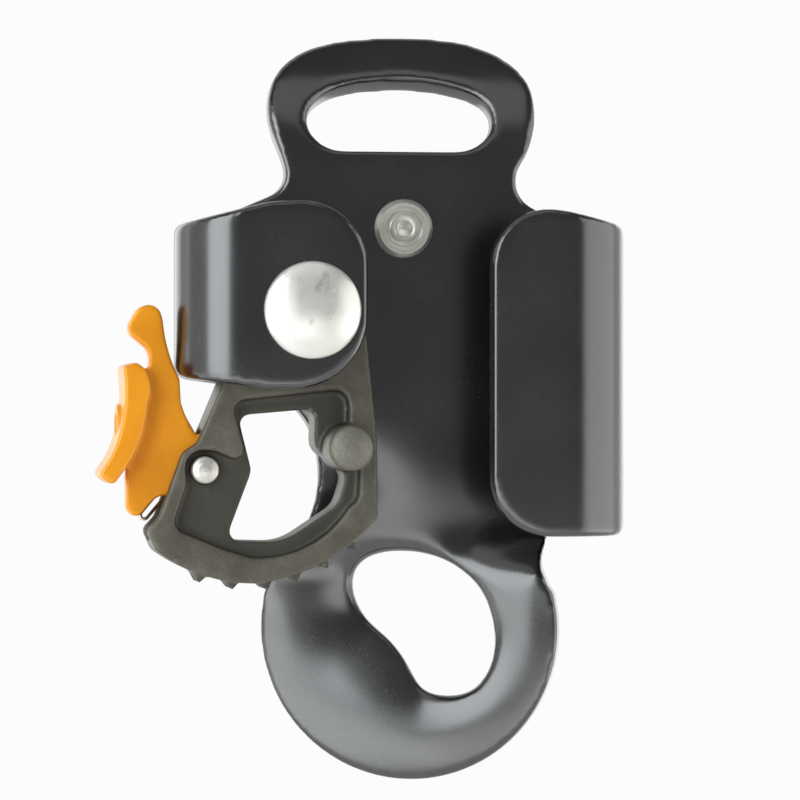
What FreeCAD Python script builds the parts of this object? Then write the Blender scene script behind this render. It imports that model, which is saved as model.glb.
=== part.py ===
import FreeCAD, Part
import math
import os
import Sketcher
from FreeCAD import Placement, Rotation, Vector

# Ventral rope clamp.  The row frame: origin at the centre of the connector eye,
# half way through the plate; +Z up to the strap loop, +X to the rope channel,
# and the front of the clamp, where the cam and the flaps are, faces -Y.

SIZES = {
    # folded plate
    "plate_thick": 4.5,
    "gap_inner": 14.0,
    "bend_outer": 11.5,
    "housing_left": -43.9,
    "channel_right": 32.75,
    "blank_height": 90.0,
    "blank_reach": 60.0,
    # strap loop, curved back out of the plate
    "loop_start_z": 79.0,
    "loop_bend_radius": 24.0,
    "loop_bend_deg": 40.0,
    # connector ring, twisted about a vertical line
    "ring_radius": 25.85,
    "ring_centre_x": -0.55,
    "ring_twist_deg": 20.0,
    "twist_axis_x": -2.0,
    # pivot of the cam
    "pivot_x": -22.1,
    "pivot_z": 54.0,
    "pivot_shank_radius": 3.5,
    "pivot_head_radius": 8.1,
    "pivot_head_height": 2.7,
    "sleeve_radius": 4.5,
    "running_clearance": 0.05,
    # cam
    "cam_width": 11.0,
    "cam_rear_y": -3.75,
    "cam_boss_radius": 9.0,
    "cam_boss_step": 1.3,
    "recess_depth": 2.4,
    "spike_radius": 1.5,
    "spike_height": 1.75,
    "spike_row": 3.6,
    "stud_x": -15.6,
    "stud_z": 31.1,
    "stud_root_y": -8.0,
    "stud_radius": 3.85,
    "stud_front_y": -21.2,
    "stud_dome_height": 1.4,
    "spring_chamber": 5.6,
    # safety catch
    "lever_thick": 4.0,
    "lever_rear_y": -7.55,
    "slot_front_y": -11.75,
    "slot_width": 6.35,
    "pad_width": 12.2,
    "cord_hole_radius": 1.8,
    "cord_hole_z": 35.0,
    "cord_boss_radius": 3.4,
    "cord_boss_x": -53.8,
    "pin_x": -39.2,
    "pin_z": 27.4,
    "pin_radius": 2.3,
    "pin_length": 10.2,
    # plain rivet in the back plate
    "plate_rivet_x": -3.95,
    "plate_rivet_z": 68.35,
    "plate_rivet_head": 5.0,
    "plate_rivet_shank": 3.2,
    "plate_rivet_height": 1.3,
    # spring wires
    "cam_wire": 1.0,
    "cam_coil_radius": 5.25,
    "cam_leg_short": 3.4,
    "cam_leg_long": 16.6,
    "catch_wire": 0.6,
    "catch_coil_radius": 3.1,
    "catch_leg_short": 5.0,
    "catch_leg_long": 12.0,
    "catch_hook_radius": 0.65,
    "catch_hook_back": 3.6,
}

doc = FreeCAD.newDocument("rope_clamp")


def make_sheet():
    """The spreadsheet that holds every driving size."""
    sheet = doc.addObject("Spreadsheet::Sheet", "sizes")
    for row, (name, value) in enumerate(SIZES.items(), start=1):
        sheet.set("A%d" % row, name)
        sheet.set("B%d" % row, str(value))
        sheet.setAlias("B%d" % row, name)
    doc.recompute()
    return sheet


sheet = make_sheet()


def size(name):
    return float(sheet.get(name))


def bind(item, prop, formula):
    """Bind a property to cells, written with their bare names."""
    words = formula.split(" ")
    words = ["sizes." + w if w in SIZES else w for w in words]
    item.setExpression(prop, " ".join(words))


# ---------------------------------------------------------------- outlines


def corner_arc(before, corner, after, radius):
    """The tangent arc that rounds one corner: start, middle and end."""
    to_before = (before - corner).normalize()
    to_after = (after - corner).normalize()
    half = to_before.getAngle(to_after) / 2.0
    reach = radius / math.tan(half)
    bisector = (to_before + to_after).normalize()
    centre = corner + bisector * (radius / math.sin(half))
    start = corner + to_before * reach
    end = corner + to_after * reach
    middle = centre - bisector * radius
    return start, middle, end


def outline_curves(steps):
    """Lines and arcs of a closed outline in the plane of X and Z.

    A step of two or three numbers is a corner (x, z) with an optional radius.
    A step of four is the middle and the end of an arc from the last point.
    """
    count = len(steps)
    ends = [Vector(s[-2], s[-1], 0) if len(s) == 4 else Vector(s[0], s[1], 0) for s in steps]
    curves = []
    if len(steps[0]) == 3:
        here = corner_arc(ends[-1], ends[0], ends[1], steps[0][2])[2]
    else:
        here = ends[0]
    first = here
    for i in range(1, count + 1):
        step = steps[i % count]
        if len(step) == 4 and i < count:
            curves.append(Part.Arc(here, Vector(step[0], step[1], 0), ends[i]))
            here = ends[i]
            continue
        target = ends[i % count]
        if len(step) == 3:
            start, middle, end = corner_arc(ends[i - 1], target, ends[(i + 1) % count], step[2])
            curves.append(Part.LineSegment(here, start))
            curves.append(Part.Arc(start, middle, end))
            here = end
        elif (target - here).Length > 1e-6:
            curves.append(Part.LineSegment(here, target))
            here = target
    assert (here - first).Length < 1e-6, "outline is open"
    return curves


def upright(point, y):
    return Vector(point.x, y, point.y)


def outline_wire(steps, y):
    """The closed outline as a wire that stands in the plane at this Y."""
    wire = Part.Wire([c.toShape() for c in outline_curves(steps)])
    wire.rotate(Vector(0, 0, 0), Vector(1, 0, 0), 90)
    wire.translate(Vector(0, y, 0))
    return wire


def prism(steps, y_front, y_rear):
    face = Part.Face(outline_wire(steps, y_front))
    return face.extrude(Vector(0, y_rear - y_front, 0))


# ------------------------------------------------------------------- frame

# Flat back plate from the foot of the loop to the top of the twisted zone.
PLATE = [
    (-24.4, 79.0),
    (-23.2, 75.3, 4.0),
    (-32.6, 71.3),
    (-32.6, 41.3),
    (-25.6, 40.6, 6.0),
    (-22.94, 38.16),
    (-21.4, 36.5, -20.1, 34.5),
    (21.35, 34.5),
    (21.35, 70.6),
    (14.2, 74.4, 5.0),
    (16.3, 79.0),
]

# Front flap of the cam housing, seen from the front.
HOUSING = [
    (-43.9, 68.3, 1.6),
    (-29.0, 72.0, 14.0),
    (-12.7, 73.0, 11.2),
    (-12.7, 40.8, 12.4),
    (-29.5, 41.0, 20.0),
    (-43.9, 42.8, 2.6),
]

# Front flap of the rope channel.
CHANNEL = [
    (8.35, 71.3, 9.5),
    (20.0, 71.0, 20.0),
    (32.7, 68.4, 2.6),
    (32.7, 16.15, 2.4),
    (8.35, 16.15, 10.0),
]

# Loop outline at mid thickness, as seen from the front.
LOOP_OUTER = [
    (-24.4, 79.0),
    (-25.6, 82.4),
    (-26.8, 86.0),
    (-26.95, 89.6),
    (-25.95, 92.9),
    (-23.3, 96.1),
    (-18.9, 98.7),
    (-13.0, 100.15),
    (-5.0, 100.85),
    (4.0, 100.65),
    (11.0, 99.3),
    (16.15, 96.5),
    (19.0, 92.8),
    (19.7, 88.7),
    (19.05, 84.6),
    (17.65, 81.2),
    (16.3, 79.0),
]

# Strap slot at mid thickness: a flat foot and an arched top.
LOOP_SLOT = [
    (-4.3, 93.3),
    (-12.0, 92.5),
    (-17.2, 90.6),
    (-20.0, 87.5),
    (-19.4, 83.9),
    (-16.2, 81.7),
    (-11.5, 81.4),
    (-4.0, 81.4),
    (3.0, 81.4),
    (7.6, 81.8),
    (10.9, 84.1),
    (11.6, 87.6),
    (9.2, 90.7),
    (3.6, 92.6),
]

# Connector eye in the plane of the ring: bean shaped, with a bulge at lower left.
EYE = [
    (-10.4, 8.4),
    (-8.0, 11.7),
    (-3.4, 12.9),
    (2.6, 12.5),
    (8.0, 10.3),
    (12.3, 6.2),
    (14.4, 0.0),
    (13.7, -6.3),
    (10.2, -10.6),
    (5.4, -11.5),
    (1.5, -10.2),
    (-1.0, -6.0),
    (-4.5, -1.6),
    (-8.6, 2.3),
]

# Twisted zone from the flat plate down to the ring.  For each height: the share
# of the twist left and right of the twist line, and the reach to either side.
NECK = [
    (36.1, 0.00, 0.00, -19.00, 23.35),
    (34.0, 0.00, 0.00, -17.83, 23.35),
    (31.0, 0.10, 0.00, -16.75, 23.35),
    (28.0, 0.24, 0.00, -16.30, 23.35),
    (25.0, 0.39, 0.00, -16.22, 23.35),
    (22.0, 0.52, 0.00, -16.62, 23.35),
    (19.0, 0.62, 0.00, -17.55, 23.35),
    (17.0, 0.68, 0.00, -18.48, 23.35),
    (15.2, 0.74, 0.12, -19.80, 23.00),
    (13.4, 0.81, 0.40, -21.20, 22.40),
    (11.6, 0.90, 0.74, -22.60, 22.10),
    (10.0, 0.97, 0.94, -23.70, 22.50),
    (8.5, 1.00, 1.00, -24.60, 23.30),
    (5.0, 1.00, 1.00, -25.80, 24.20),
]


def loop_section(z):
    """Depth and slope of the loop's mid surface at this height."""
    start = size("loop_start_z")
    radius = size("loop_bend_radius")
    full = math.radians(size("loop_bend_deg"))
    bend_end = start + radius * math.sin(full)
    if z <= start:
        return 0.0, 0.0
    if z >= bend_end:
        depth = radius * (1.0 - math.cos(full))
        return depth + (z - bend_end) * math.tan(full), full
    angle = math.asin((z - start) / radius)
    return radius * (1.0 - math.cos(angle)), angle


def loop_rails(points, y):
    """Points where the surface normals through an outline meet the plane at y."""
    found = []
    for x, z in points:
        depth, angle = loop_section(z)
        found.append(Vector(x, y, z + (depth - y) * math.tan(angle)))
    return found


def spline_wire(points, closed):
    curve = Part.BSplineCurve()
    count = len(points)
    if closed:
        knots = [i / count for i in range(count + 1)]
        curve.interpolate(Points=points, PeriodicFlag=True, Parameters=knots)
        return Part.Wire([curve.toShape()])
    knots = [i / (count - 1) for i in range(count)]
    curve.interpolate(Points=points, Parameters=knots)
    return Part.Wire([curve.toShape(), Part.LineSegment(points[-1], points[0]).toShape()])


def loop_cutter(points, closed):
    """A solid whose walls follow the normals of the curved strip."""
    front = spline_wire(loop_rails(points, -6.0), closed)
    rear = spline_wire(loop_rails(points, 13.0), closed)
    return Part.makeLoft([front, rear], True, True)


def loop_strip():
    """The plate's strip, bent back by an arc and then straight."""
    half = size("plate_thick") / 2.0
    start = size("loop_start_z")
    radius = size("loop_bend_radius")
    full = math.radians(size("loop_bend_deg"))
    centre = Vector(0, radius, start)

    def on_arc(reach, angle):
        return centre + Vector(0, -reach * math.cos(angle), reach * math.sin(angle))

    run = Vector(0, math.sin(full), math.cos(full)) * 16.0
    front = radius + half
    rear = radius - half
    foot = start - 6.0
    outer = [Vector(0, -half, foot)] + [on_arc(front, full * share) for share in (0.0, 0.5, 1.0)]
    inner = [Vector(0, half, foot)] + [on_arc(rear, full * share) for share in (0.0, 0.5, 1.0)]
    edges = [
        Part.LineSegment(outer[0], outer[1]),
        Part.Arc(outer[1], outer[2], outer[3]),
        Part.LineSegment(outer[3], outer[3] + run),
        Part.LineSegment(outer[3] + run, inner[3] + run),
        Part.LineSegment(inner[3] + run, inner[3]),
        Part.Arc(inner[3], inner[2], inner[1]),
        Part.LineSegment(inner[1], inner[0]),
        Part.LineSegment(inner[0], outer[0]),
    ]
    face = Part.Face(Part.Wire([e.toShape() for e in edges]))
    strip = face.extrude(Vector(70, 0, 0))
    strip.translate(Vector(-35, 0, 0))
    return strip


def strap_loop():
    return loop_strip().common(loop_cutter(LOOP_OUTER, False))


def ring_placement():
    """Turns the plane of X and Z about the vertical twist line."""
    turn = Rotation(Vector(0, 0, 1), -size("ring_twist_deg"))
    return Placement(Vector(size("twist_axis_x"), 0, 0), turn)


def ring_slab():
    """The flat ring below the neck, with its own plane turned by the twist."""
    half = size("plate_thick") / 2.0
    radius = size("ring_radius")
    cx = size("ring_centre_x")
    top = 7.0
    reach = math.sqrt(radius ** 2 - top ** 2)
    points = [Vector(cx + reach, -half, top), Vector(cx, -half, -radius), Vector(cx - reach, -half, top)]
    edges = [Part.Arc(points[0], points[1], points[2]), Part.LineSegment(points[2], points[0])]
    face = Part.Face(Part.Wire([e.toShape() for e in edges]))
    slab = face.extrude(Vector(0, size("plate_thick"), 0))
    slab.Placement = ring_placement()
    return slab


def eye_cutter():
    points = [Vector(x, -12.0, z) for x, z in EYE]
    cutter = Part.Face(spline_wire(points, True)).extrude(Vector(0, 24, 0))
    cutter.Placement = ring_placement()
    return cutter


def neck_section(z, left_share, right_share, left, right):
    """One level cut through the twisted zone, as a closed wire."""
    half = size("plate_thick") / 2.0
    twist = math.radians(size("ring_twist_deg"))
    steps = 8
    middle = []
    for i in range(steps + 1):
        reach = left + (right - left) * i / steps
        blend = min(max((reach + 6.0) / 24.0, 0.0), 1.0)
        blend = blend * blend * (3.0 - 2.0 * blend)
        angle = twist * (left_share + (right_share - left_share) * blend)
        x = size("twist_axis_x") + reach * math.cos(angle)
        middle.append(Vector(x, -reach * math.sin(angle), z))
    front = []
    rear = []
    for i, point in enumerate(middle):
        along = middle[min(i + 1, steps)] - middle[max(i - 1, 0)]
        out = Vector(-along.y, along.x, 0).normalize()
        front.append(point - out * half)
        rear.append(point + out * half)
    rear.reverse()
    knots = [i / steps for i in range(steps + 1)]
    edges = []
    for points in (front, rear):
        curve = Part.BSplineCurve()
        curve.interpolate(Points=points, Parameters=knots)
        edges.append(curve.toShape())
    side = Part.LineSegment(front[-1], rear[0]).toShape()
    close = Part.LineSegment(rear[-1], front[0]).toShape()
    return Part.Wire([edges[0], side, edges[1], close])


def neck():
    """Ruled transition from the flat plate to the turned ring."""
    return Part.makeLoft([neck_section(*row) for row in NECK], True, True)


def folded_flap(steps, side_x, toward):
    """One fold of the plate: the round bend and the flap in front of it.

    side_x is the outermost X of the fold, toward is +1 when it opens to +X.
    """
    thick = size("plate_thick")
    gap = size("gap_inner")
    outer = size("bend_outer")
    high = size("blank_height")
    reach = size("blank_reach")
    inner = outer - thick
    mid_y = -(thick + gap) / 2.0
    centre_x = side_x + toward * outer
    axis = Vector(0, 0, 1)
    base = Vector(centre_x, mid_y, 0)
    bend = Part.makeCylinder(outer, high, base, axis).cut(Part.makeCylinder(inner, high, base, axis))
    keep = Part.makeBox(outer + 1, 2 * outer + 2, high, Vector(0, -outer - 1, 0))
    keep.translate(Vector(centre_x - (outer + 1 if toward > 0 else 0), mid_y, 0))
    bend = bend.common(keep)
    flap_x = centre_x if toward > 0 else centre_x - reach
    flap = Part.makeBox(reach, thick, high, Vector(flap_x, mid_y - outer, 0))
    return bend.fuse(flap).common(prism(steps, -40, 20)).removeSplitter()


def rivet_hole(x, z, radius):
    return Part.makeCylinder(radius, 60, Vector(x, -30, z), Vector(0, 1, 0))


def countersink(x, z, radius):
    """Conical seat at the rear face for a rivet that is closed flush."""
    half = size("plate_thick") / 2.0
    return Part.makeCone(radius, radius + 1.5, 1.5, Vector(x, half - 1.5, z), Vector(0, 1, 0))


def frame_shape():
    half = size("plate_thick") / 2.0
    housing = folded_flap(HOUSING, size("housing_left") - 0.1, 1)
    channel = folded_flap(CHANNEL, size("channel_right"), -1)
    body = prism(PLATE, -half, half)
    for piece in (strap_loop(), neck(), ring_slab(), housing, channel):
        body = body.fuse(piece)
    body = body.removeSplitter()
    pivot = (size("pivot_x"), size("pivot_z"), size("pivot_shank_radius"))
    rivet = (size("plate_rivet_x"), size("plate_rivet_z"), size("plate_rivet_shank"))
    for cutter in (loop_cutter(LOOP_SLOT, True), eye_cutter(), rivet_hole(*pivot), rivet_hole(*rivet)):
        body = body.cut(cutter)
    body = body.cut(countersink(*pivot)).cut(countersink(*rivet))
    return body


def make_frame():
    frame = doc.addObject("Part::Feature", "frame")
    shape = frame_shape()
    frame.Shape = shape.Solids[0] if len(shape.Solids) == 1 else shape
    frame.Label = "frame"
    frame.Placement = Placement()
    return frame


# ------------------------------------------------------------ design bodies


def new_body(label):
    body = doc.addObject("PartDesign::Body", label + "_body")
    body.Label = label
    body.Placement = Placement()
    return body


def plane_of(body, role):
    return [f for f in body.Origin.OriginFeatures if f.Role == role][0]


def new_sketch(body, name, role, depth):
    """An empty sketch on one of the body's planes, moved along its normal."""
    sketch = body.newObject("Sketcher::SketchObject", name)
    sketch.AttachmentSupport = [(plane_of(body, role), "")]
    sketch.MapMode = "FlatFace"
    bind(sketch, "AttachmentOffset.Base.z", depth)
    return sketch


def outline_sketch(body, name, steps, depth):
    """An outline on the upright plane; depth runs towards the front."""
    sketch = new_sketch(body, name, "XZ_Plane", depth)
    sketch.addGeometry(outline_curves(steps), False)
    return sketch


def circle_sketch(body, name, x, z, radius, depth):
    """A circle whose centre and radius are bound to cells."""
    sketch = new_sketch(body, name, "XZ_Plane", depth)
    spot = Vector(size(x), size(z), 0)
    sketch.addGeometry(Part.Circle(spot, Vector(0, 0, 1), 5.0), False)
    for kind, formula in (("DistanceX", x), ("DistanceY", z)):
        value = spot.x if kind == "DistanceX" else spot.y
        index = sketch.addConstraint(Sketcher.Constraint(kind, 0, 3, value))
        bind(sketch, "Constraints[%d]" % index, formula)
    index = sketch.addConstraint(Sketcher.Constraint("Radius", 0, 5.0))
    bind(sketch, "Constraints[%d]" % index, radius)
    return sketch


def extrusion(body, kind, name, sketch, length):
    """A Pad or a Pocket of a sketch, with its length bound to cells."""
    feature = body.newObject("PartDesign::" + kind, name)
    feature.Profile = sketch
    bind(feature, "Length", length)
    sketch.Visibility = False
    return feature


def turned_body(label, profile, x, z):
    """A revolved piece on an axis along Y; profile points are (radius, y)."""
    body = new_body(label)
    sketch = new_sketch(body, label + "_profile", "XY_Plane", "0 mm")
    points = [Vector(r, y, 0) for r, y in profile]
    for i, point in enumerate(points):
        sketch.addGeometry(Part.LineSegment(point, points[(i + 1) % len(points)]), False)
    turn = body.newObject("PartDesign::Revolution", label + "_turn")
    turn.Profile = sketch
    turn.ReferenceAxis = (sketch, ["V_Axis"])
    turn.Angle = 360
    bind(body, "Placement.Base.x", x)
    bind(body, "Placement.Base.z", z)
    return body


def dome(radius, height, y_base, count):
    """Profile points of a domed head that stands towards the front."""
    ball = (radius ** 2 + height ** 2) / (2.0 * height)
    points = []
    for i in range(count + 1):
        r = radius * (1.0 - i / count)
        points.append((r, y_base - (math.sqrt(ball ** 2 - r ** 2) - (ball - height))))
    return points


# --------------------------------------------------------------------- cam

CAM = [
    (-12.1, 50.0),
    (-10.3, 33.0, 60.0),
    (-10.2, 19.4),
    (-18.8, 12.3, -30.5, 8.45),
    (-38.6, 9.55, -47.6, 14.1),
    (-49.0, 17.4, 1.2),
    (-47.0, 19.6, 1.5),
    (-43.0, 30.5, 2.5),
    (-40.6, 31.9, 1.5),
    (-36.1, 42.6),
    (-31.6, 52.0),
]

CAM_WINDOW = [
    (-33.5, 36.5, 1.6),
    (-20.4, 37.6, 1.8),
    (-20.7, 30.9, 3.0),
    (-15.1, 26.9, 2.6),
    (-16.7, 21.4, 4.0),
    (-26.0, 15.3, 9.0),
    (-35.6, 15.6, 1.6),
    (-31.2, 27.2, 3.0),
]

CAM_RECESS = [
    (-34.9, 38.9, 2.0),
    (-15.1, 41.0, 2.4),
    (-15.1, 34.6),
    (-17.5, 28.0),
    (-13.1, 28.2, 1.0),
    (-13.4, 21.9, 3.0),
    (-21.5, 14.9, -31.5, 12.7),
    (-36.0, 14.1),
    (-44.8, 17.7, 2.0),
    (-42.4, 25.0),
    (-42.9, 30.9, 3.0),
    (-37.8, 30.7, 2.0),
    (-32.0, 28.2, 1.5),
]

# Space for the lever between the cheeks: round the pin and out to the left.
LEVER_SLOT = [
    (-39.2, 33.8),
    (-32.8, 27.4, -39.2, 21.0),
    (-44.0, 19.2, 2.0),
    (-48.6, 15.0),
    (-60.0, 15.0),
    (-60.0, 40.0),
    (-39.2, 40.0),
]

# Space for the torsion spring, open to the top of the boss.
SPRING_CHAMBER = [
    (-29.7, 54.0),
    (-22.1, 46.4, -14.5, 54.0),
    (-8.0, 54.0),
    (-8.0, 72.0),
    (-38.0, 72.0),
    (-38.0, 54.0),
]


def cam_body():
    """The cast cam without its spikes."""
    body = new_body("cam_casting")
    sketch = outline_sketch(body, "cam_outline", CAM, "-1 * cam_rear_y")
    extrusion(body, "Pad", "cam_pad", sketch, "cam_width")
    boss_depth = "-1 * cam_rear_y - cam_boss_step"
    sketch = circle_sketch(body, "boss_circle", "pivot_x", "pivot_z", "cam_boss_radius", boss_depth)
    extrusion(body, "Pad", "boss_pad", sketch, "cam_width + 2 * cam_boss_step")
    sketch = outline_sketch(body, "window_outline", CAM_WINDOW, "-1 * cam_rear_y + cam_width")
    extrusion(body, "Pocket", "window_pocket", sketch, "cam_width")
    sketch = outline_sketch(body, "recess_outline", CAM_RECESS, "-1 * cam_rear_y + cam_width")
    extrusion(body, "Pocket", "recess_pocket", sketch, "recess_depth")
    sketch = outline_sketch(body, "lever_slot_outline", LEVER_SLOT, "-1 * slot_front_y")
    extrusion(body, "Pocket", "lever_slot_pocket", sketch, "slot_width")
    middle = "-1 * cam_rear_y + cam_width / 2 + spring_chamber / 2"
    sketch = outline_sketch(body, "spring_chamber_outline", SPRING_CHAMBER, middle)
    extrusion(body, "Pocket", "spring_chamber_pocket", sketch, "spring_chamber")
    bore = "sleeve_radius + running_clearance"
    sketch = circle_sketch(body, "bore_circle", "pivot_x", "pivot_z", bore, "30 mm")
    extrusion(body, "Pocket", "bore_pocket", sketch, "40 mm")
    return body


def stud_boss():
    """The thumb stud: a round post with a domed head, set in the cam's web."""
    boss = doc.addObject("Part::Cylinder", "stud_post")
    bind(boss, "Radius", "stud_radius")
    bind(boss, "Height", "stud_root_y - stud_front_y")
    root = Vector(size("stud_x"), size("stud_root_y"), size("stud_z"))
    boss.Placement = Placement(root, Rotation(Vector(1, 0, 0), 90))
    head = doc.addObject("Part::Feature", "stud_dome")
    points = dome(size("stud_radius"), size("stud_dome_height"), size("stud_front_y"), 8)
    profile = [Vector(0, size("stud_front_y"), 0)] + [Vector(r, y, 0) for r, y in points]
    face = Part.Face(Part.makePolygon(profile + [profile[0]]))
    head.Shape = face.revolve(Vector(0, 0, 0), Vector(0, 1, 0), 360)
    head.Placement = Placement(Vector(size("stud_x"), 0, size("stud_z")), Rotation())
    return [boss, head]


def pin_bore():
    bore = doc.addObject("Part::Cylinder", "pin_bore")
    bind(bore, "Radius", "pin_radius")
    bore.Height = 40
    bore.Placement = Placement(Vector(size("pin_x"), 10, size("pin_z")), Rotation(Vector(1, 0, 0), 90))
    bind(bore, "Placement.Base.x", "pin_x")
    bind(bore, "Placement.Base.z", "pin_z")
    return bore


# Centre of the arc of the friction face, and for each line of spikes its angle
# and the distance of its foot from that centre.
TOOTH_CENTRE = (-34.4, 39.9)
SPIKE_LINES = [
    (259.5, 30.1),
    (269.6, 30.8),
    (279.5, 31.3),
    (289.0, 31.4),
    (298.8, 31.4),
    (308.6, 31.4),
]


def spikes():
    """Rows of short cones that stand out of the friction face."""
    found = []
    middle_y = size("cam_rear_y") - size("cam_width") / 2.0
    for row in (-1, 0, 1):
        for line, (degrees, foot) in enumerate(SPIKE_LINES):
            angle = math.radians(degrees)
            out = Vector(math.cos(angle), 0, math.sin(angle))
            base = Vector(TOOTH_CENTRE[0], middle_y, TOOTH_CENTRE[1]) + out * foot
            cone = doc.addObject("Part::Cone", "spike_%d_%d" % (row + 1, line))
            bind(cone, "Radius1", "spike_radius")
            cone.Radius2 = 0.12
            bind(cone, "Height", "spike_height")
            cone.Placement = Placement(base, Rotation(Vector(0, 0, 1), out))
            bind(cone, "Placement.Base.y", "cam_rear_y - cam_width / 2 + %d * spike_row" % row)
            found.append(cone)
    return found


def make_cam():
    whole = doc.addObject("Part::MultiFuse", "cam_whole")
    whole.Shapes = [cam_body()] + stud_boss() + spikes()
    cam = doc.addObject("Part::Cut", "cam")
    cam.Base = whole
    cam.Tool = pin_bore()
    cam.Label = "cam"
    return cam


# ------------------------------------------------------------ safety catch

# The finger's right edge is an arc about the cam pivot, so that the finger
# passes the housing's lower corner while the cam turns.
LEVER = [
    (-50.3, 54.3, 2.2),
    (-46.9, 56.0, 2.2),
    (-46.0, 52.2),
    (-45.1, 47.3, -43.2, 42.6),
    (-43.0, 38.6),
    (-42.3, 36.6, 3.0),
    (-40.4, 33.2),
    (-34.2, 31.0, -33.4, 27.4),
    (-35.2, 23.0, -39.2, 21.4),
    (-46.6, 23.6, 3.0),
    (-50.3, 19.2, 1.4),
    (-52.2, 20.6, 1.6),
    (-52.2, 26.0, 2.0),
    (-51.9, 31.0),
    (-50.3, 40.0),
    (-50.3, 43.8),
    (-48.2, 44.6, 0.6),
    (-48.4, 47.4, 3.0),
    (-52.4, 50.6, 1.8),
]

# Thumb pad, a bowed plate that stands across the lever's outer edge.
PAD = [
    (-53.0, 44.6, 0.6),
    (-52.7, 40.0, -53.3, 35.2),
    (-54.5, 31.0, -56.6, 27.4),
    (-57.0, 26.6, 0.4),
    (-54.5, 24.6, 0.9),
    (-50.8, 30.9, -48.9, 38.6),
    (-48.5, 42.2, -49.5, 44.4),
    (-50.8, 45.4, 0.8),
]


def make_catch():
    body = new_body("safety_catch")
    sketch = outline_sketch(body, "lever_outline", LEVER, "-1 * lever_rear_y")
    extrusion(body, "Pad", "lever_pad", sketch, "lever_thick")
    half_pad = "-1 * cam_rear_y + cam_width / 2 - pad_width / 2"
    sketch = outline_sketch(body, "pad_outline", PAD, half_pad)
    extrusion(body, "Pad", "thumb_pad", sketch, "pad_width")
    bore = "pin_radius + running_clearance"
    sketch = circle_sketch(body, "hub_bore_circle", "pin_x", "pin_z", bore, "30 mm")
    extrusion(body, "Pocket", "hub_bore", sketch, "40 mm")
    spot = Vector(size("cam_rear_y") - size("cam_width") / 2.0, size("cord_hole_z"), 0)
    sketch = new_sketch(body, "cord_boss_circle", "YZ_Plane", "cord_boss_x")
    sketch.addGeometry(Part.Circle(spot, Vector(0, 0, 1), size("cord_boss_radius")), False)
    extrusion(body, "Pad", "cord_boss", sketch, "2.4 mm")
    sketch = new_sketch(body, "cord_circle", "YZ_Plane", "-58 mm")
    sketch.addGeometry(Part.Circle(spot, Vector(0, 0, 1), size("cord_hole_radius")), False)
    hole = extrusion(body, "Pocket", "cord_hole", sketch, "7.2 mm")
    hole.Reversed = True
    return body


# -------------------------------------------------------- pins and springs


def make_pivot_rivet():
    """Domed rivet through both flaps, closed flush at the rear."""
    front = -(size("plate_thick") * 1.5 + size("gap_inner"))
    rear = size("plate_thick") / 2.0
    shank = size("pivot_shank_radius")
    head = dome(size("pivot_head_radius"), size("pivot_head_height") - 0.5, front - 0.5, 12)
    profile = [(size("pivot_head_radius"), front)] + head
    profile += [(0.0, rear), (shank + 1.5, rear), (shank, rear - 1.5), (shank, front)]
    return turned_body("pivot_rivet", profile, "pivot_x", "pivot_z")


def make_frame_rivet():
    """Low button rivet with turned rings, in the back plate alone."""
    half = size("plate_thick") / 2.0
    head = size("plate_rivet_head")
    high = size("plate_rivet_height")
    shank = size("plate_rivet_shank")
    profile = [
        (0.0, half), (shank + 1.5, half), (shank, half - 1.5), (shank, -half), (head, -half),
        (head, -half - 0.35 * high), (head - 0.7, -half - high), (3.1, -half - high),
        (2.9, -half - high + 0.25), (2.6, -half - high + 0.25), (2.4, -half - high),
        (1.7, -half - high), (1.5, -half - high + 0.2), (1.2, -half - high + 0.2),
        (1.0, -half - high), (0.0, -half - high),
    ]
    return turned_body("frame_rivet", profile, "plate_rivet_x", "plate_rivet_z")


def make_catch_pin():
    middle = size("cam_rear_y") - size("cam_width") / 2.0
    half = size("pin_length") / 2.0
    r = size("pin_radius")
    profile = [
        (0.0, middle - half), (r - 0.3, middle - half), (r, middle - half + 0.3),
        (r, middle + half - 0.3), (r - 0.3, middle + half), (0.0, middle + half),
    ]
    return turned_body("catch_pin", profile, "pin_x", "pin_z")


def make_sleeve():
    """Bearing tube that the rivet clamps between the two flaps."""
    outer = doc.addObject("Part::Cylinder", "sleeve_outer")
    bind(outer, "Radius", "sleeve_radius")
    bind(outer, "Height", "gap_inner")
    inner = doc.addObject("Part::Cylinder", "sleeve_inner")
    bind(inner, "Radius", "pivot_shank_radius")
    bind(inner, "Height", "gap_inner")
    sleeve = doc.addObject("Part::Cut", "pivot_sleeve")
    sleeve.Base = outer
    sleeve.Tool = inner
    spot = Vector(size("pivot_x"), -size("plate_thick") / 2.0, size("pivot_z"))
    sleeve.Placement = Placement(spot, Rotation(Vector(1, 0, 0), 90))
    sleeve.Label = "pivot_sleeve"
    return sleeve


def hook_edges(start, away, side, radius, back):
    """The end of a leg, turned back beside itself."""
    crown = start + away * radius + side * radius
    foot = start + side * (2.0 * radius)
    turn = Part.Arc(start, crown, foot)
    run = Part.LineSegment(foot, foot - away * back)
    return [turn.toShape(), run.toShape()]


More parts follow.
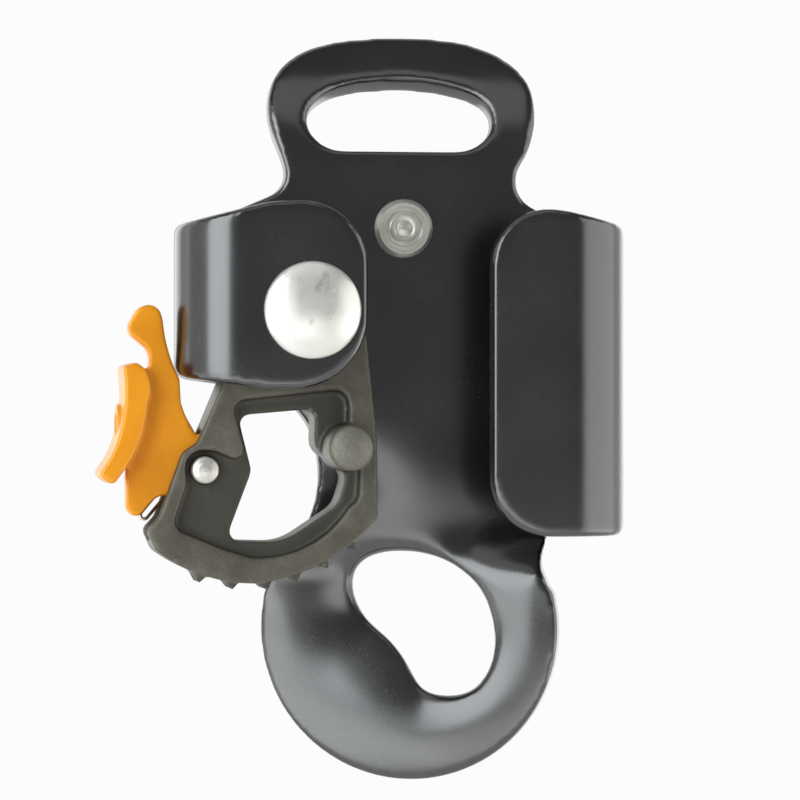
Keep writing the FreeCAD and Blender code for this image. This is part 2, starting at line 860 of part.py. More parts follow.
def torsion_spring(label, wire, radius, pitch, turns, legs, place, hook=None):
    """A coil with a straight leg at each end, swept with a round wire."""
    helix = Part.makeHelix(pitch, pitch * turns, radius)
    first = Vector(radius, 0, 0)
    along = Vector(0, 2 * math.pi * radius, pitch).normalize()
    angle = 2 * math.pi * turns
    last = Vector(radius * math.cos(angle), radius * math.sin(angle), pitch * turns)
    outward = Vector(math.cos(angle), math.sin(angle), 0)
    away = Vector(-outward.y, outward.x, pitch / (2 * math.pi * radius)).normalize()
    start = first - along * legs[0]
    edges = [Part.LineSegment(start, first).toShape()] + helix.Edges
    tip = last + away * legs[1]
    edges.append(Part.LineSegment(last, tip).toShape())
    if hook:
        edges += hook_edges(tip, away, outward * -1.0, hook[0], hook[1])
    path = Part.Wire(Part.__sortEdges__(edges))
    ring = Part.Wire([Part.Circle(start, along, wire / 2.0).toShape()])
    spring = doc.addObject("Part::Feature", label)
    spring.Shape = path.makePipeShell([ring], True, True)
    spring.Placement = place
    spring.Label = label
    return spring


def make_cam_spring():
    """Closing spring round the sleeve, between the cam's two cheeks."""
    middle = size("cam_rear_y") - size("cam_width") / 2.0
    pitch = size("cam_wire") * 1.05
    turns = 3.5
    tip = Rotation(Vector(1, 0, 0), 90)
    roll = Rotation(Vector(0, 1, 0), 90)
    base = Vector(size("pivot_x"), middle + pitch * turns / 2.0, size("pivot_z"))
    legs = (size("cam_leg_short"), size("cam_leg_long"))
    place = Placement(base, roll * tip)
    radius = size("cam_coil_radius")
    return torsion_spring("cam_spring", size("cam_wire"), radius, pitch, turns, legs, place)


def make_catch_spring():
    """Small spring round the catch pin, behind the lever."""
    wire = size("catch_wire")
    pitch = wire * 1.02
    tip = Rotation(Vector(1, 0, 0), 90)
    roll = Rotation(Vector(0, 1, 0), 40)
    slot_rear = size("slot_front_y") + size("slot_width")
    base = Vector(size("pin_x"), slot_rear - wire / 2.0 - 0.2, size("pin_z"))
    legs = (size("catch_leg_short"), size("catch_leg_long"))
    hook = (size("catch_hook_radius"), size("catch_hook_back"))
    place = Placement(base, roll * tip)
    radius = size("catch_coil_radius")
    return torsion_spring("catch_spring", wire, radius, pitch, 1.5, legs, place, hook)


def make_all():
    return [
        make_frame(),
        make_cam(),
        make_pivot_rivet(),
        make_sleeve(),
        make_cam_spring(),
        make_catch(),
        make_catch_pin(),
        make_catch_spring(),
        make_frame_rivet(),
    ]


def check(items):
    for item in doc.Objects:
        assert "Invalid" not in item.State and "Error" not in item.State, item.Name
    for item in items:
        shape = item.Shape
        assert not shape.isNull() and shape.isValid(), item.Label
        print("%-14s solids %d  volume %9.1f" % (item.Label, len(shape.Solids), shape.Volume))


def export(items):
    os.makedirs("parts", exist_ok=True)
    for item in items:
        item.Shape.exportStep("parts/%s.step" % item.Label)


pieces = make_all()
doc.recompute()
check(pieces)
export(pieces)
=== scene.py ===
import math

import bmesh
import bpy
import numpy as np
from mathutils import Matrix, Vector


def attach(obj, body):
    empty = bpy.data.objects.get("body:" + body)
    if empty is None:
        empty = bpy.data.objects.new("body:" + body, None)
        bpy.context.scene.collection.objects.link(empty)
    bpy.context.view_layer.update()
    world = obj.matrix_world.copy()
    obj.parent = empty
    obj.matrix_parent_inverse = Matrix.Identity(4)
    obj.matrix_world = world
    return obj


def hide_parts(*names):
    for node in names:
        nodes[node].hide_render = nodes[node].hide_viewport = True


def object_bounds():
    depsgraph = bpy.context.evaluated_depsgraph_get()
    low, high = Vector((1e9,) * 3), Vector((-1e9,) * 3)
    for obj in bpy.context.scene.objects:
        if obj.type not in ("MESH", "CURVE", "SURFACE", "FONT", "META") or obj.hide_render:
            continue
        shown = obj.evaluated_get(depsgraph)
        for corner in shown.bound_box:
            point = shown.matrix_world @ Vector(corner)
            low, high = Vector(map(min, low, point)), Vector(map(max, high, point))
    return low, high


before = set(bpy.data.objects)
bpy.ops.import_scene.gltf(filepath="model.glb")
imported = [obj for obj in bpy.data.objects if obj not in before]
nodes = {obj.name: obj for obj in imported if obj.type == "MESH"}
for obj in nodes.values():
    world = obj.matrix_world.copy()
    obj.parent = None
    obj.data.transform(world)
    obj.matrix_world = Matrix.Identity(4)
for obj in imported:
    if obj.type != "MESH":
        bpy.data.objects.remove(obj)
cad_low, cad_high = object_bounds()

MM = 0.001

# The camera looks level at the clamp from a little left of its front.
TARGET = Vector((-5.63, -9.25, 39.08)) * MM
CAMERA_TURN = math.radians(9.0)
CAMERA_DISTANCE = 0.7
CAMERA_LENS = 186.4

# The stage, in metres: how far the floor lies below the clamp, how far behind
# the clamp the backdrop stands, and how far both reach to the sides.
FLOOR_DROP = 0.25
BACKDROP_Y = 0.9
STAGE_REACH = 3
STAGE_SHADE = 0.9

# How much of the stage's look is plain white, while the rest takes light and
# shadow, and the plain light that comes from all round the clamp.
WHITE_SHARE = 0.95
WORLD_LIGHT = 0.075

# The share of the white surroundings that shows in reflections. It is kept
# low, so that the black metal stays black.
MIRRORED_WHITE = 0.06

# Places on the clamp, in millimetres.
PIVOT = (-22.1, 54.0)
PIN = (-39.2, 27.4)
FRAME_RIVET = (-3.95, 68.35)
FLAP_FRONT = -20.75
CAM_FACE = -14.55
STUD_FACE = -20.9
PLATE_FRONT = -2.25
PLATE_REAR = 2.25
RING_AXIS_X = -2.0
RING_TWIST = math.radians(20.0)
RING_RADIUS = 25.85
RING_CENTRE_X = -0.55
LIMB_SLOPE = 0.02
LEAN_BACK = 1.1
EYE = [
    (-10.4, 8.4),
    (-8.0, 11.7),
    (-3.4, 12.9),
    (2.6, 12.5),
    (8.0, 10.3),
    (12.3, 6.2),
    (14.4, 0.0),
    (13.7, -6.3),
    (10.2, -10.6),
    (5.4, -11.5),
    (1.5, -10.2),
    (-1.0, -6.0),
    (-4.5, -1.6),
    (-8.6, 2.3),
]
TOOTH_CENTRE = (-34.4, 39.9)
FRAME_RIVET_HEIGHT = 1.3

# Sizes of the remeshed skins, in millimetres, and the strength of one round
# of smoothing.
FRAME_VOXEL = 0.42
CAM_VOXEL = 0.28
CATCH_VOXEL = 0.22
SMOOTHING_STEP = 0.6


# ------------------------------------------------------------ shader helpers


class Nodes:
    """A small helper that adds nodes to one material and links them."""

    def __init__(self, name):
        self.material = bpy.data.materials.new(name)
        self.material.use_nodes = True
        self.tree = self.material.node_tree
        self.shader = self.tree.nodes["Principled BSDF"]
        coords = self.tree.nodes.new("ShaderNodeTexCoord")
        self.place = coords.outputs["Object"]

    def link(self, source, target):
        self.tree.links.new(source, target)

    def noise(self, scale, detail=3.0, roughness=0.5, vector=None):
        node = self.tree.nodes.new("ShaderNodeTexNoise")
        node.inputs["Scale"].default_value = scale
        node.inputs["Detail"].default_value = detail
        node.inputs["Roughness"].default_value = roughness
        self.link(vector or self.place, node.inputs["Vector"])
        return node.outputs["Fac"]

    def stretch(self, factors, centre=(0.0, 0.0, 0.0)):
        node = self.tree.nodes.new("ShaderNodeMapping")
        node.vector_type = "POINT"
        node.inputs["Scale"].default_value = factors
        shift = [-c * f for c, f in zip(centre, factors)]
        node.inputs["Location"].default_value = shift
        self.link(self.place, node.inputs["Vector"])
        return node.outputs["Vector"]

    def spread(self, value, low, high, start=0.0, end=1.0):
        node = self.tree.nodes.new("ShaderNodeMapRange")
        node.inputs["From Min"].default_value = low
        node.inputs["From Max"].default_value = high
        node.inputs["To Min"].default_value = start
        node.inputs["To Max"].default_value = end
        self.link(value, node.inputs["Value"])
        return node.outputs["Result"]

    def along_y(self):
        node = self.tree.nodes.new("ShaderNodeSeparateXYZ")
        self.link(self.place, node.inputs["Vector"])
        return node.outputs["Y"]

    def math(self, kind, first, second):
        node = self.tree.nodes.new("ShaderNodeMath")
        node.operation = kind
        for socket, value in zip(node.inputs, (first, second)):
            if isinstance(value, (int, float)):
                socket.default_value = value
            else:
                self.link(value, socket)
        return node.outputs["Value"]

    def mix(self, factor, first, second):
        node = self.tree.nodes.new("ShaderNodeMix")
        node.data_type = "RGBA"
        self.link(factor, node.inputs["Factor"])
        for socket, value in ((node.inputs[6], first), (node.inputs[7], second)):
            if isinstance(value, tuple):
                socket.default_value = (*value, 1.0)
            else:
                self.link(value, socket)
        return node.outputs[2]

    def edges(self, low, high):
        """0 on faces and 1 on outer edges, from the curvature of the mesh."""
        node = self.tree.nodes.new("ShaderNodeNewGeometry")
        return self.spread(node.outputs["Pointiness"], low, high)

    def bump(self, height, strength, distance, after=None):
        node = self.tree.nodes.new("ShaderNodeBump")
        node.inputs["Strength"].default_value = strength
        node.inputs["Distance"].default_value = distance
        self.link(height, node.inputs["Height"])
        if after is not None:
            self.link(after, node.inputs["Normal"])
        return node.outputs["Normal"]

    def finish(self, colour=None, roughness=None, normal=None, **constants):
        if colour is not None:
            self.link(colour, self.shader.inputs["Base Color"])
        if roughness is not None:
            self.link(roughness, self.shader.inputs["Roughness"])
        if normal is not None:
            self.link(normal, self.shader.inputs["Normal"])
        for name, value in constants.items():
            self.shader.inputs[name.replace("_", " ")].default_value = value
        return self.material


def black_anodised():
    m = Nodes("black_anodised")
    cloud = m.noise(60.0, 4.0)
    grain = m.noise(3800.0, 2.0, 0.6)
    drawn = m.noise(900.0, 3.0, 0.6, m.stretch((1.0, 1.0, 0.12)))
    colour = m.mix(m.spread(cloud, 0.35, 0.65), (0.0055, 0.0060, 0.0062), (0.0085, 0.0092, 0.0094))
    worn = m.math("MULTIPLY", m.edges(0.535, 0.60), m.spread(m.noise(420.0, 4.0), 0.42, 0.70))
    colour = m.mix(m.math("MULTIPLY", worn, 0.3), colour, (0.07, 0.07, 0.073))
    rough = m.math("ADD", m.spread(cloud, 0.3, 0.7, 0.20, 0.25), m.spread(grain, 0.3, 0.7, -0.03, 0.04))
    normal = m.bump(grain, 0.07, 0.00005)
    normal = m.bump(drawn, 0.05, 0.00006, normal)
    return m.finish(colour, rough, normal, Specular_IOR_Level=1.0, IOR=1.6)


def cast_steel():
    m = Nodes("cast_steel")
    blotch = m.noise(160.0, 5.0, 0.6)
    grain = m.noise(2600.0, 4.0, 0.65)
    lumps = m.noise(700.0, 3.0, 0.55)
    colour = m.mix(m.spread(blotch, 0.32, 0.68), (0.084, 0.079, 0.058), (0.152, 0.145, 0.108))
    # Painted shade: the hollow from 1.6 to 3.5 mm behind the cam's front face is painted darker, as shade
    # falling into the recess.
    depth = m.spread(m.along_y(), CAM_FACE * MM, (CAM_FACE + 1.6) * MM)
    recess_shade_band = m.spread(m.along_y(), (CAM_FACE + 3.5) * MM, (CAM_FACE + 5.0) * MM, 0.75, 0.0)
    colour = m.mix(m.math("MULTIPLY", depth, recess_shade_band), colour, (0.034, 0.031, 0.024))
    # Painted sheen: the stud's front face, the part nearest the viewer, is painted lighter, as a shine on
    # its head.
    stud_sheen = m.spread(m.along_y(), STUD_FACE * MM, (STUD_FACE - 0.8) * MM)
    colour = m.mix(m.math("MULTIPLY", stud_sheen, 0.8), colour, (0.23, 0.225, 0.185))
    colour = m.mix(m.spread(grain, 0.30, 0.75, 0.0, 0.5), colour, (0.050, 0.043, 0.040))
    # Painted highlight: the outer edges, found from the mesh's curvature, are painted lighter, as light
    # catching the rounded edges.
    colour = m.mix(m.spread(m.edges(0.52, 0.62), 0.0, 1.0, 0.0, 0.55), colour, (0.20, 0.19, 0.165))
    rough = m.math("ADD", m.spread(blotch, 0.3, 0.7, 0.42, 0.52), m.spread(grain, 0.3, 0.7, -0.05, 0.06))
    normal = m.bump(lumps, 0.30, 0.00025)
    normal = m.bump(grain, 0.45, 0.00012, normal)
    return m.finish(colour, rough, normal, Metallic=0.30)


def orange_anodised():
    m = Nodes("orange_anodised")
    cloud = m.noise(110.0, 3.0)
    grain = m.noise(3000.0, 3.0, 0.6)
    drawn = m.noise(1300.0, 2.0, 0.5, m.stretch((1.0, 1.0, 0.15)))
    colour = m.mix(m.spread(cloud, 0.3, 0.7), (0.82, 0.290, 0.004), (0.91, 0.352, 0.007))
    worn = m.math("MULTIPLY", m.edges(0.53, 0.62), m.spread(m.noise(500.0, 4.0), 0.45, 0.72))
    colour = m.mix(m.math("MULTIPLY", worn, 0.5), colour, (0.95, 0.68, 0.26))
    rough = m.math("ADD", m.spread(cloud, 0.3, 0.7, 0.30, 0.38), m.spread(grain, 0.3, 0.7, -0.03, 0.04))
    normal = m.bump(grain, 0.20, 0.00008)
    normal = m.bump(drawn, 0.12, 0.00010, normal)
    return m.finish(colour, rough, normal, Metallic=0.15)


def polished_steel():
    m = Nodes("polished_steel")
    cloud = m.noise(240.0, 3.0)
    hair = m.noise(1500.0, 4.0, 0.6, m.stretch((1.0, 1.0, 0.10)))
    pits = m.noise(2300.0, 3.0, 0.6)
    smudge = m.noise(210.0, 5.0, 0.68)
    colour = m.mix(m.spread(cloud, 0.3, 0.7), (0.74, 0.73, 0.68), (0.84, 0.83, 0.78))
    colour = m.mix(m.spread(smudge, 0.54, 0.70, 0.0, 0.75), colour, (0.34, 0.33, 0.30))
    rough = m.math("ADD", m.spread(cloud, 0.3, 0.7, 0.28, 0.38), m.spread(hair, 0.3, 0.7, -0.03, 0.05))
    normal = m.bump(hair, 0.14, 0.00012)
    normal = m.bump(pits, 0.12, 0.00010, normal)
    return m.finish(colour, rough, normal, Metallic=0.6)


def turned_steel(name, centre):
    """Steel with the fine rings of a lathe round an axis along Y."""
    m = Nodes(name)
    place = m.stretch((1.0, 0.0, 1.0), (centre[0] * MM, 0.0, centre[1] * MM))
    wave = m.tree.nodes.new("ShaderNodeTexWave")
    wave.wave_type = "RINGS"
    wave.rings_direction = "Y"
    wave.inputs["Scale"].default_value = 420.0
    wave.inputs["Distortion"].default_value = 0.6
    wave.inputs["Detail"].default_value = 2.0
    m.link(place, wave.inputs["Vector"])
    rings = wave.outputs["Fac"]
    cloud = m.noise(300.0, 3.0)
    colour = m.mix(m.spread(cloud, 0.3, 0.7), (0.56, 0.55, 0.49), (0.68, 0.67, 0.61))
    rough = m.math("ADD", m.spread(cloud, 0.3, 0.7, 0.32, 0.40), m.spread(rings, 0.0, 1.0, -0.03, 0.05))
    normal = m.bump(rings, 0.25, 0.00005)
    normal = m.bump(m.noise(2500.0, 3.0), 0.10, 0.00006, normal)
    return m.finish(colour, rough, normal, Metallic=0.7)


def spring_wire():
    m = Nodes("spring_wire")
    cloud = m.noise(400.0, 3.0)
    grain = m.noise(3200.0, 3.0)
    colour = m.mix(m.spread(cloud, 0.3, 0.7), (0.48, 0.45, 0.36), (0.66, 0.62, 0.50))
    rough = m.spread(grain, 0.3, 0.7, 0.26, 0.40)
    return m.finish(colour, rough, m.bump(grain, 0.15, 0.00005), Metallic=1.0)


# -------------------------------------------------------------- mesh helpers


def new_piece(name, mesh, material, body, replaced):
    """Put a mesh in the scene as the look of one CAD node."""
    piece = bpy.data.objects.new(name, mesh)
    bpy.context.scene.collection.objects.link(piece)
    mesh.materials.clear()
    mesh.materials.append(material)
    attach(piece, body)
    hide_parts(replaced)
    return piece


def remeshed(node, voxel):
    """A copy of a CAD node's mesh as an even, closed skin."""
    source = bmesh.new()
    source.from_mesh(nodes[node].data)
    bmesh.ops.remove_doubles(source, verts=source.verts, dist=1e-6)
    copy = bpy.data.meshes.new(node + "_copy")
    source.to_mesh(copy)
    source.free()
    holder = bpy.data.objects.new(node + "_holder", copy)
    bpy.context.scene.collection.objects.link(holder)
    skin = holder.modifiers.new("skin", "REMESH")
    skin.mode = "VOXEL"
    skin.voxel_size = voxel
    skin.use_smooth_shade = True
    shown = holder.evaluated_get(bpy.context.evaluated_depsgraph_get())
    mesh = bpy.data.meshes.new_from_object(shown)
    bpy.data.objects.remove(holder)
    mesh.name = node + "_skin"
    return mesh


def coordinates(mesh):
    co = np.empty(len(mesh.vertices) * 3, np.float64)
    mesh.vertices.foreach_get("co", co)
    return co.reshape(-1, 3)


def store(mesh, co):
    mesh.vertices.foreach_set("co", co.astype(np.float32).ravel())
    mesh.update()


def soften(mesh, rounds, weight):
    """Round the edges by smoothing; the weight says how much at each place."""
    co = coordinates(mesh)
    pairs = np.empty(len(mesh.edges) * 2, np.int64)
    mesh.edges.foreach_get("vertices", pairs)
    a, b = pairs[0::2], pairs[1::2]
    count = np.bincount(a, minlength=len(co)) + np.bincount(b, minlength=len(co))
    amount = weight(co)[:, None]
    for _ in range(rounds):
        total = np.empty_like(co)
        for axis in range(3):
            sums = np.bincount(a, co[b, axis], len(co)) + np.bincount(b, co[a, axis], len(co))
            total[:, axis] = sums / count
        co += (total - co) * amount * SMOOTHING_STEP
    store(mesh, co)
    mesh.polygons.foreach_set("use_smooth", np.ones(len(mesh.polygons), bool))
    return mesh


def even(co):
    return np.ones(len(co))


def lathe(name, profile, centre, steps=96):
    """A mesh turned about an axis along Y; the profile is (radius, y) in mm."""
    bm = bmesh.new()
    rings = []
    for radius, y in profile:
        if radius < 1e-6:
            rings.append([bm.verts.new((centre[0] * MM, y * MM, centre[1] * MM))])
            continue
        ring = []
        for i in range(steps):
            angle = 2 * math.pi * i / steps
            x = centre[0] + radius * math.cos(angle)
            z = centre[1] + radius * math.sin(angle)
            ring.append(bm.verts.new((x * MM, y * MM, z * MM)))
        rings.append(ring)
    for first, second in zip(rings, rings[1:]):
        for i in range(steps):
            j = (i + 1) % steps
            if len(first) == 1:
                bm.faces.new((first[0], second[j], second[i]))
            elif len(second) == 1:
                bm.faces.new((first[i], first[j], second[0]))
            else:
                bm.faces.new((first[i], first[j], second[j], second[i]))
    bmesh.ops.recalc_face_normals(bm, faces=bm.faces)
    mesh = bpy.data.meshes.new(name)
    bm.to_mesh(mesh)
    bm.free()
    mesh.polygons.foreach_set("use_smooth", np.ones(len(mesh.polygons), bool))
    mesh.set_sharp_from_angle(angle=math.radians(40.0))
    return mesh


def domed(radius, rim, height, y_base, count=16):
    """Profile of a head: a short straight rim and a ball shaped dome."""
    ball = (radius ** 2 + height ** 2) / (2.0 * height)
    points = [(radius, y_base), (radius, y_base - rim * 0.7)]
    top = y_base - rim
    for i in range(1, count + 1):
        r = (radius - 0.12) * (1.0 - (i - 1) / (count - 1))
        points.append((max(r, 0.0), top - (math.sqrt(ball ** 2 - r ** 2) - (ball - height))))
    return points


def rounded(node, material, body, name):
    """A copy of a CAD node with joined faces and smooth shading."""
    source = bmesh.new()
    source.from_mesh(nodes[node].data)
    bmesh.ops.remove_doubles(source, verts=source.verts, dist=1e-6)
    bmesh.ops.recalc_face_normals(source, faces=source.faces)
    mesh = bpy.data.meshes.new(name)
    source.to_mesh(mesh)
    source.free()
    mesh.polygons.foreach_set("use_smooth", np.ones(len(mesh.polygons), bool))
    mesh.set_sharp_from_angle(angle=math.radians(35.0))
    return new_piece(name, mesh, material, body, node)


# -------------------------------------------------------------------- pieces


def ring_place(co):
    """Coordinates in the plane of the turned ring, in millimetres."""
    x = co[:, 0] / MM - RING_AXIS_X
    y = co[:, 1] / MM
    along = x * math.cos(RING_TWIST) - y * math.sin(RING_TWIST)
    through = x * math.sin(RING_TWIST) + y * math.cos(RING_TWIST)
    return along, through, co[:, 2] / MM


def loop_points(points, steps=12):
    """A closed smooth line through the points."""
    p = np.array(points, float)
    found = []
    for i in range(len(p)):
        a, b, c, d = (p[(i + k - 1) % len(p)] for k in range(4))
        for t in np.arange(steps) / steps:
            even_part = 2 * b + (c - a) * t + (2 * a - 5 * b + 4 * c - d) * t ** 2
            found.append(0.5 * (even_part + (3 * b - a - 3 * c + d) * t ** 3))
    return np.array(found)


def distance_to(line, u, v):
    """The shortest distance from each place (u, v) to the points of a line."""
    best = np.full(len(u), 1e9)
    for px, pz in line:
        best = np.minimum(best, (u - px) ** 2 + (v - pz) ** 2)
    return np.sqrt(best)


def smooth_step(value):
    """0 below 0, 1 above 1 and an S-shaped rise between."""
    value = np.clip(value, 0.0, 1.0)
    return value * value * (3.0 - 2.0 * value)


def crown_ring(mesh):
    """Crown the wide part of the ring between its rim and the eye."""
    co = coordinates(mesh)
    along, through, z = ring_place(co)
    chosen = (z < 16.0) & (np.abs(through) < 4.0)
    u = along[chosen]
    v = z[chosen]
    t = through[chosen]
    inner = distance_to(loop_points(EYE), u, v)
    outer = np.clip(RING_RADIUS - np.hypot(u - RING_CENTRE_X, v), 0.0, None)
    width = inner + outer
    share = inner / np.maximum(width, 0.1)
    height = np.clip(width - 8.0, 0.0, 7.0) * 0.16 + 0.08
    drop = height * (2.0 * share - 1.0) ** 2 * np.where(share < 0.5, 1.4, 0.7)
    fade = smooth_step((9.0 - v) / 8.0)
    level = np.clip(-t / 2.25, -1.0, 1.0)
    push = drop * fade * np.where(level > 0, level, 0.3 * level)
    limb = smooth_step((-u - 3.0) / 7.0) * smooth_step((v + 9.0) / 9.0) * smooth_step((16.0 - v) / 7.0)
    push += limb * LIMB_SLOPE * (u + 16.0)
    co[chosen, 0] += push * math.sin(RING_TWIST) * MM
    co[chosen, 1] += push * math.cos(RING_TWIST) * MM
    store(mesh, co)


def set_back(mesh):
    """Let the plate lean back a little above the ring."""
    co = coordinates(mesh)
    x = co[:, 0] / MM
    z = co[:, 2] / MM
    chosen = smooth_step((31.0 - z) / 20.0) * smooth_step((z + 16.0) / 20.0)
    chosen *= smooth_step((18.0 - x) / 12.0) * smooth_step((x + 27.0) / 12.0)
    chosen *= np.abs(co[:, 1]) < 12.0 * MM
    lower = z < 36.0
    co[lower, 1] += LEAN_BACK * MM * chosen[lower]
    store(mesh, co)


def eye_weight(co):
    """Smoothing beside the eye of the ring."""
    along, through, z = ring_place(co)
    chosen = z < 20.0
    weight = np.zeros(len(co))
    near = distance_to(loop_points(EYE), along[chosen], z[chosen])
    weight[chosen] = np.clip((4.0 - near) / 2.0, 0.0, 1.0)
    return weight


def twist_weight(co):
    """Smoothing of the twisted zone, away from its outline."""
    x = co[:, 0] / MM
    z = co[:, 2] / MM
    flat = np.clip((x + 16.0) / 3.0, 0.0, 1.0) * np.clip((19.0 - x) / 3.0, 0.0, 1.0)
    level = np.clip((z - 3.0) / 4.0, 0.0, 1.0) * np.clip((39.0 - z) / 3.0, 0.0, 1.0)
    return flat * level * (np.abs(co[:, 1]) < 9.0 * MM)


def loop_weight(co):
    """Smoothing on the bent strap loop."""
    return smooth_step((co[:, 2] / MM - 82.0) / 4.0)


def make_frame():
    """The folded plate, with rounded edges and a crowned connector ring."""
    mesh = remeshed("frame", FRAME_VOXEL * MM)
    crown_ring(mesh)
    set_back(mesh)
    soften(mesh, 60, twist_weight)
    soften(mesh, 14, eye_weight)
    soften(mesh, 20, loop_weight)
    soften(mesh, 9, even)
    return new_piece("frame_shell", mesh, black_anodised(), "frame", "frame")


def cam_weight(co):
    """Less smoothing on the spikes, so that they keep their points."""
    dx = co[:, 0] / MM - TOOTH_CENTRE[0]
    dz = co[:, 2] / MM - TOOTH_CENTRE[1]
    reach = np.hypot(dx, dz)
    low = co[:, 2] / MM < 20.0
    near = np.clip((reach - 30.6) / 0.7, 0.0, 1.0) * low
    return 1.0 - 0.85 * near


def make_cam():
    mesh = remeshed("cam", CAM_VOXEL * MM)
    soften(mesh, 7, cam_weight)
    return new_piece("cam_casting", mesh, cast_steel(), "cam", "cam")


def make_catch():
    mesh = remeshed("safety_catch", CATCH_VOXEL * MM)
    soften(mesh, 8, even)
    material = orange_anodised()
    return new_piece("catch_lever", mesh, material, "catch", "safety_catch")


def make_pivot_rivet():
    profile = [(0.0, PLATE_REAR), (5.0, PLATE_REAR), (3.5, PLATE_REAR - 1.5), (3.5, FLAP_FRONT)]
    profile += domed(8.1, 0.7, 2.0, FLAP_FRONT)
    mesh = lathe("pivot_rivet_turned", profile, PIVOT)
    material = polished_steel()
    return new_piece("pivot_rivet_dome", mesh, material, "frame", "pivot_rivet")


def make_frame_rivet(steel):
    """A low button with two turned grooves, closed flush at the rear."""
    face = PLATE_FRONT - FRAME_RIVET_HEIGHT
    profile = [(0.0, PLATE_REAR), (4.7, PLATE_REAR), (3.2, PLATE_REAR - 1.5), (3.2, PLATE_FRONT)]
    profile += [(5.0, PLATE_FRONT), (5.0, face + 0.85), (4.9, face + 0.62), (4.35, face)]
    for outer, inner, depth in ((3.15, 2.35, 0.18), (1.70, 1.00, 0.15)):
        profile += [(outer, face), (outer - 0.2, face + depth), (inner + 0.2, face + depth), (inner, face)]
    profile.append((0.0, face))
    mesh = lathe("frame_rivet_turned", profile, FRAME_RIVET)
    return new_piece("frame_rivet_button", mesh, steel, "frame", "frame_rivet")


def make_all():
    make_frame()
    make_cam()
    make_catch()
    make_pivot_rivet()
    steel = turned_steel("turned_steel", FRAME_RIVET)
    make_frame_rivet(steel)
    rounded("catch_pin", turned_steel("pin_steel", PIN), "cam", "catch_pin_turned")
    rounded("pivot_sleeve", steel, "frame", "pivot_sleeve_tube")
    wire = spring_wire()
    rounded("cam_spring", wire, "frame", "cam_spring_wire")
    rounded("catch_spring", wire, "cam", "catch_spring_wire")


# ------------------------------------------------------------------- studio


def pale_material(name, shade):
    """White to the camera and in reflections, with a little of its own shadow."""
    material = bpy.data.materials.new(name)
    material.use_nodes = True
    tree = material.node_tree
    shader = tree.nodes["Principled BSDF"]
    shader.inputs["Base Color"].default_value = (shade, shade, shade, 1.0)
    shader.inputs["Roughness"].default_value = 0.9
    glow = tree.nodes.new("ShaderNodeEmission")
    glow.inputs["Strength"].default_value = 1.0
    path = tree.nodes.new("ShaderNodeLightPath")
    seen = tree.nodes.new("ShaderNodeMath")
    seen.operation = "MAXIMUM"
    also = tree.nodes.new("ShaderNodeMath")
    also.operation = "MAXIMUM"
    part = tree.nodes.new("ShaderNodeMath")
    part.operation = "MULTIPLY"
    part.inputs[1].default_value = WHITE_SHARE
    mix = tree.nodes.new("ShaderNodeMixShader")
    tree.links.new(path.outputs["Is Camera Ray"], seen.inputs[0])
    tree.links.new(path.outputs["Is Glossy Ray"], seen.inputs[1])
    tree.links.new(seen.outputs[0], also.inputs[0])
    tree.links.new(path.outputs["Is Transmission Ray"], also.inputs[1])
    tree.links.new(also.outputs[0], part.inputs[0])
    tree.links.new(part.outputs[0], mix.inputs[0])
    tree.links.new(shader.outputs[0], mix.inputs[1])
    tree.links.new(glow.outputs[0], mix.inputs[2])
    tree.links.new(mix.outputs[0], tree.nodes["Material Output"].inputs["Surface"])
    return material


def plane(name, corners, material):
    mesh = bpy.data.meshes.new(name)
    mesh.from_pydata(corners, [], [(0, 1, 2, 3)])
    piece = bpy.data.objects.new(name, mesh)
    bpy.context.scene.collection.objects.link(piece)
    mesh.materials.append(material)
    return piece


def soft_box(name, turn, distance, lift, size, radiance, colour=(1.0, 1.0, 1.0)):
    """A soft light aimed at the clamp; it stands turned to the left of the front."""
    data = bpy.data.lights.new(name, "AREA")
    data.shape = "RECTANGLE"
    data.size = size[0]
    data.size_y = size[1]
    data.energy = math.pi * radiance * size[0] * size[1]
    data.color = colour
    lamp = bpy.data.objects.new(name, data)
    bpy.context.scene.collection.objects.link(lamp)
    angle = math.radians(turn)
    aim = Vector((TARGET.x, TARGET.y, TARGET.z))
    lamp.location = aim + Vector((-math.sin(angle), -math.cos(angle), 0.0)) * distance
    lamp.location.z += lift
    lamp.rotation_euler = (aim - lamp.location).to_track_quat("-Z", "Y").to_euler()
    return lamp


def make_stage():
    """A floor and a backdrop, both pale."""
    pale = pale_material("pale_stage", STAGE_SHADE)
    side = STAGE_REACH
    high = STAGE_REACH
    back = BACKDROP_Y
    low = cad_low[2] - FLOOR_DROP
    near_edge = [(-side, -side, low), (side, -side, low)]
    far_edge = [(side, back, low), (-side, back, low)]
    plane("floor", near_edge + far_edge, pale)
    foot = [(-side, back, low), (side, back, low)]
    top = [(side, back, high), (-side, back, high)]
    plane("backdrop", foot + top, pale)


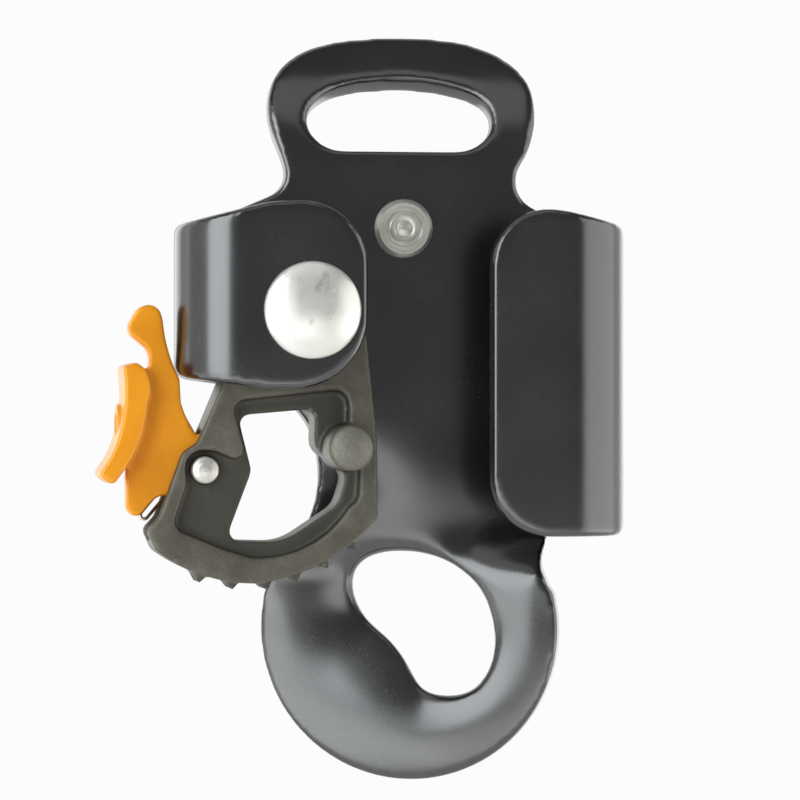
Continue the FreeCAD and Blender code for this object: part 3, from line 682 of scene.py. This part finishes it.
def make_world():
    """White to the camera, and otherwise a plain dim light from all round."""
    world = bpy.data.worlds.new("studio_world")
    bpy.context.scene.world = world
    world.use_nodes = True
    tree = world.node_tree
    ground = tree.nodes["Background"]
    ground.inputs["Color"].default_value = (0.97, 0.98, 1.0, 1.0)
    ground.inputs["Strength"].default_value = WORLD_LIGHT
    white = tree.nodes.new("ShaderNodeBackground")
    white.inputs["Color"].default_value = (1.0, 1.0, 1.0, 1.0)
    white.inputs["Strength"].default_value = 1.0
    path = tree.nodes.new("ShaderNodeLightPath")
    mix = tree.nodes.new("ShaderNodeMixShader")
    seen = tree.nodes.new("ShaderNodeMath")
    seen.operation = "MAXIMUM"
    tree.links.new(path.outputs["Is Camera Ray"], seen.inputs[0])
    tree.links.new(path.outputs["Is Transmission Ray"], seen.inputs[1])
    mirrored = tree.nodes.new("ShaderNodeMath")
    mirrored.operation = "MULTIPLY_ADD"
    tree.links.new(path.outputs["Is Glossy Ray"], mirrored.inputs[0])
    mirrored.inputs[1].default_value = MIRRORED_WHITE
    tree.links.new(seen.outputs[0], mirrored.inputs[2])
    tree.links.new(mirrored.outputs[0], mix.inputs[0])
    tree.links.new(ground.outputs[0], mix.inputs[1])
    tree.links.new(white.outputs[0], mix.inputs[2])
    tree.links.new(mix.outputs[0], tree.nodes["World Output"].inputs["Surface"])


def make_lights():
    soft_box("left_key", 48.0, 0.55, 0.17, (0.40, 0.47), 4.0, (0.93, 0.98, 1.0))
    soft_box("left_low", 47.0, 0.60, -0.28, (0.42, 0.44), 2.3, (0.93, 0.98, 1.0))
    soft_box("front_low", 8.0, 0.60, -0.33, (0.42, 0.44), 1.3)
    soft_box("front_soft", -6.0, 0.78, 0.0, (0.50, 0.90), 0.07)
    soft_box("top_soft", 10.0, 0.36, 0.62, (0.70, 0.50), 0.6)
    soft_box("left_fill", 92.0, 0.55, 0.0, (0.45, 0.75), 0.6)
    soft_box("right_key", -72.0, 0.60, 0.0, (0.76, 0.75), 1.7, (1.0, 0.99, 0.96))
    soft_box("left_rim", 150.0, 0.60, 0.0, (0.35, 0.75), 1.3)
    soft_box("right_rim", -142.0, 0.60, 0.0, (0.33, 0.75), 1.1)


def make_camera():
    data = bpy.data.cameras.new("camera")
    data.lens = CAMERA_LENS
    data.sensor_width = 36.0
    data.clip_start = 0.01
    camera = bpy.data.objects.new("camera", data)
    bpy.context.scene.collection.objects.link(camera)
    ahead = Vector((math.sin(CAMERA_TURN), math.cos(CAMERA_TURN), 0.0))
    camera.location = TARGET - ahead * CAMERA_DISTANCE
    camera.rotation_euler = (math.radians(90.0), 0.0, -CAMERA_TURN)
    bpy.context.scene.camera = camera


make_camera()
make_all()
make_stage()
make_world()
make_lights()
bpy.context.scene.view_settings.view_transform = "Standard"
bpy.context.view_layer.update()
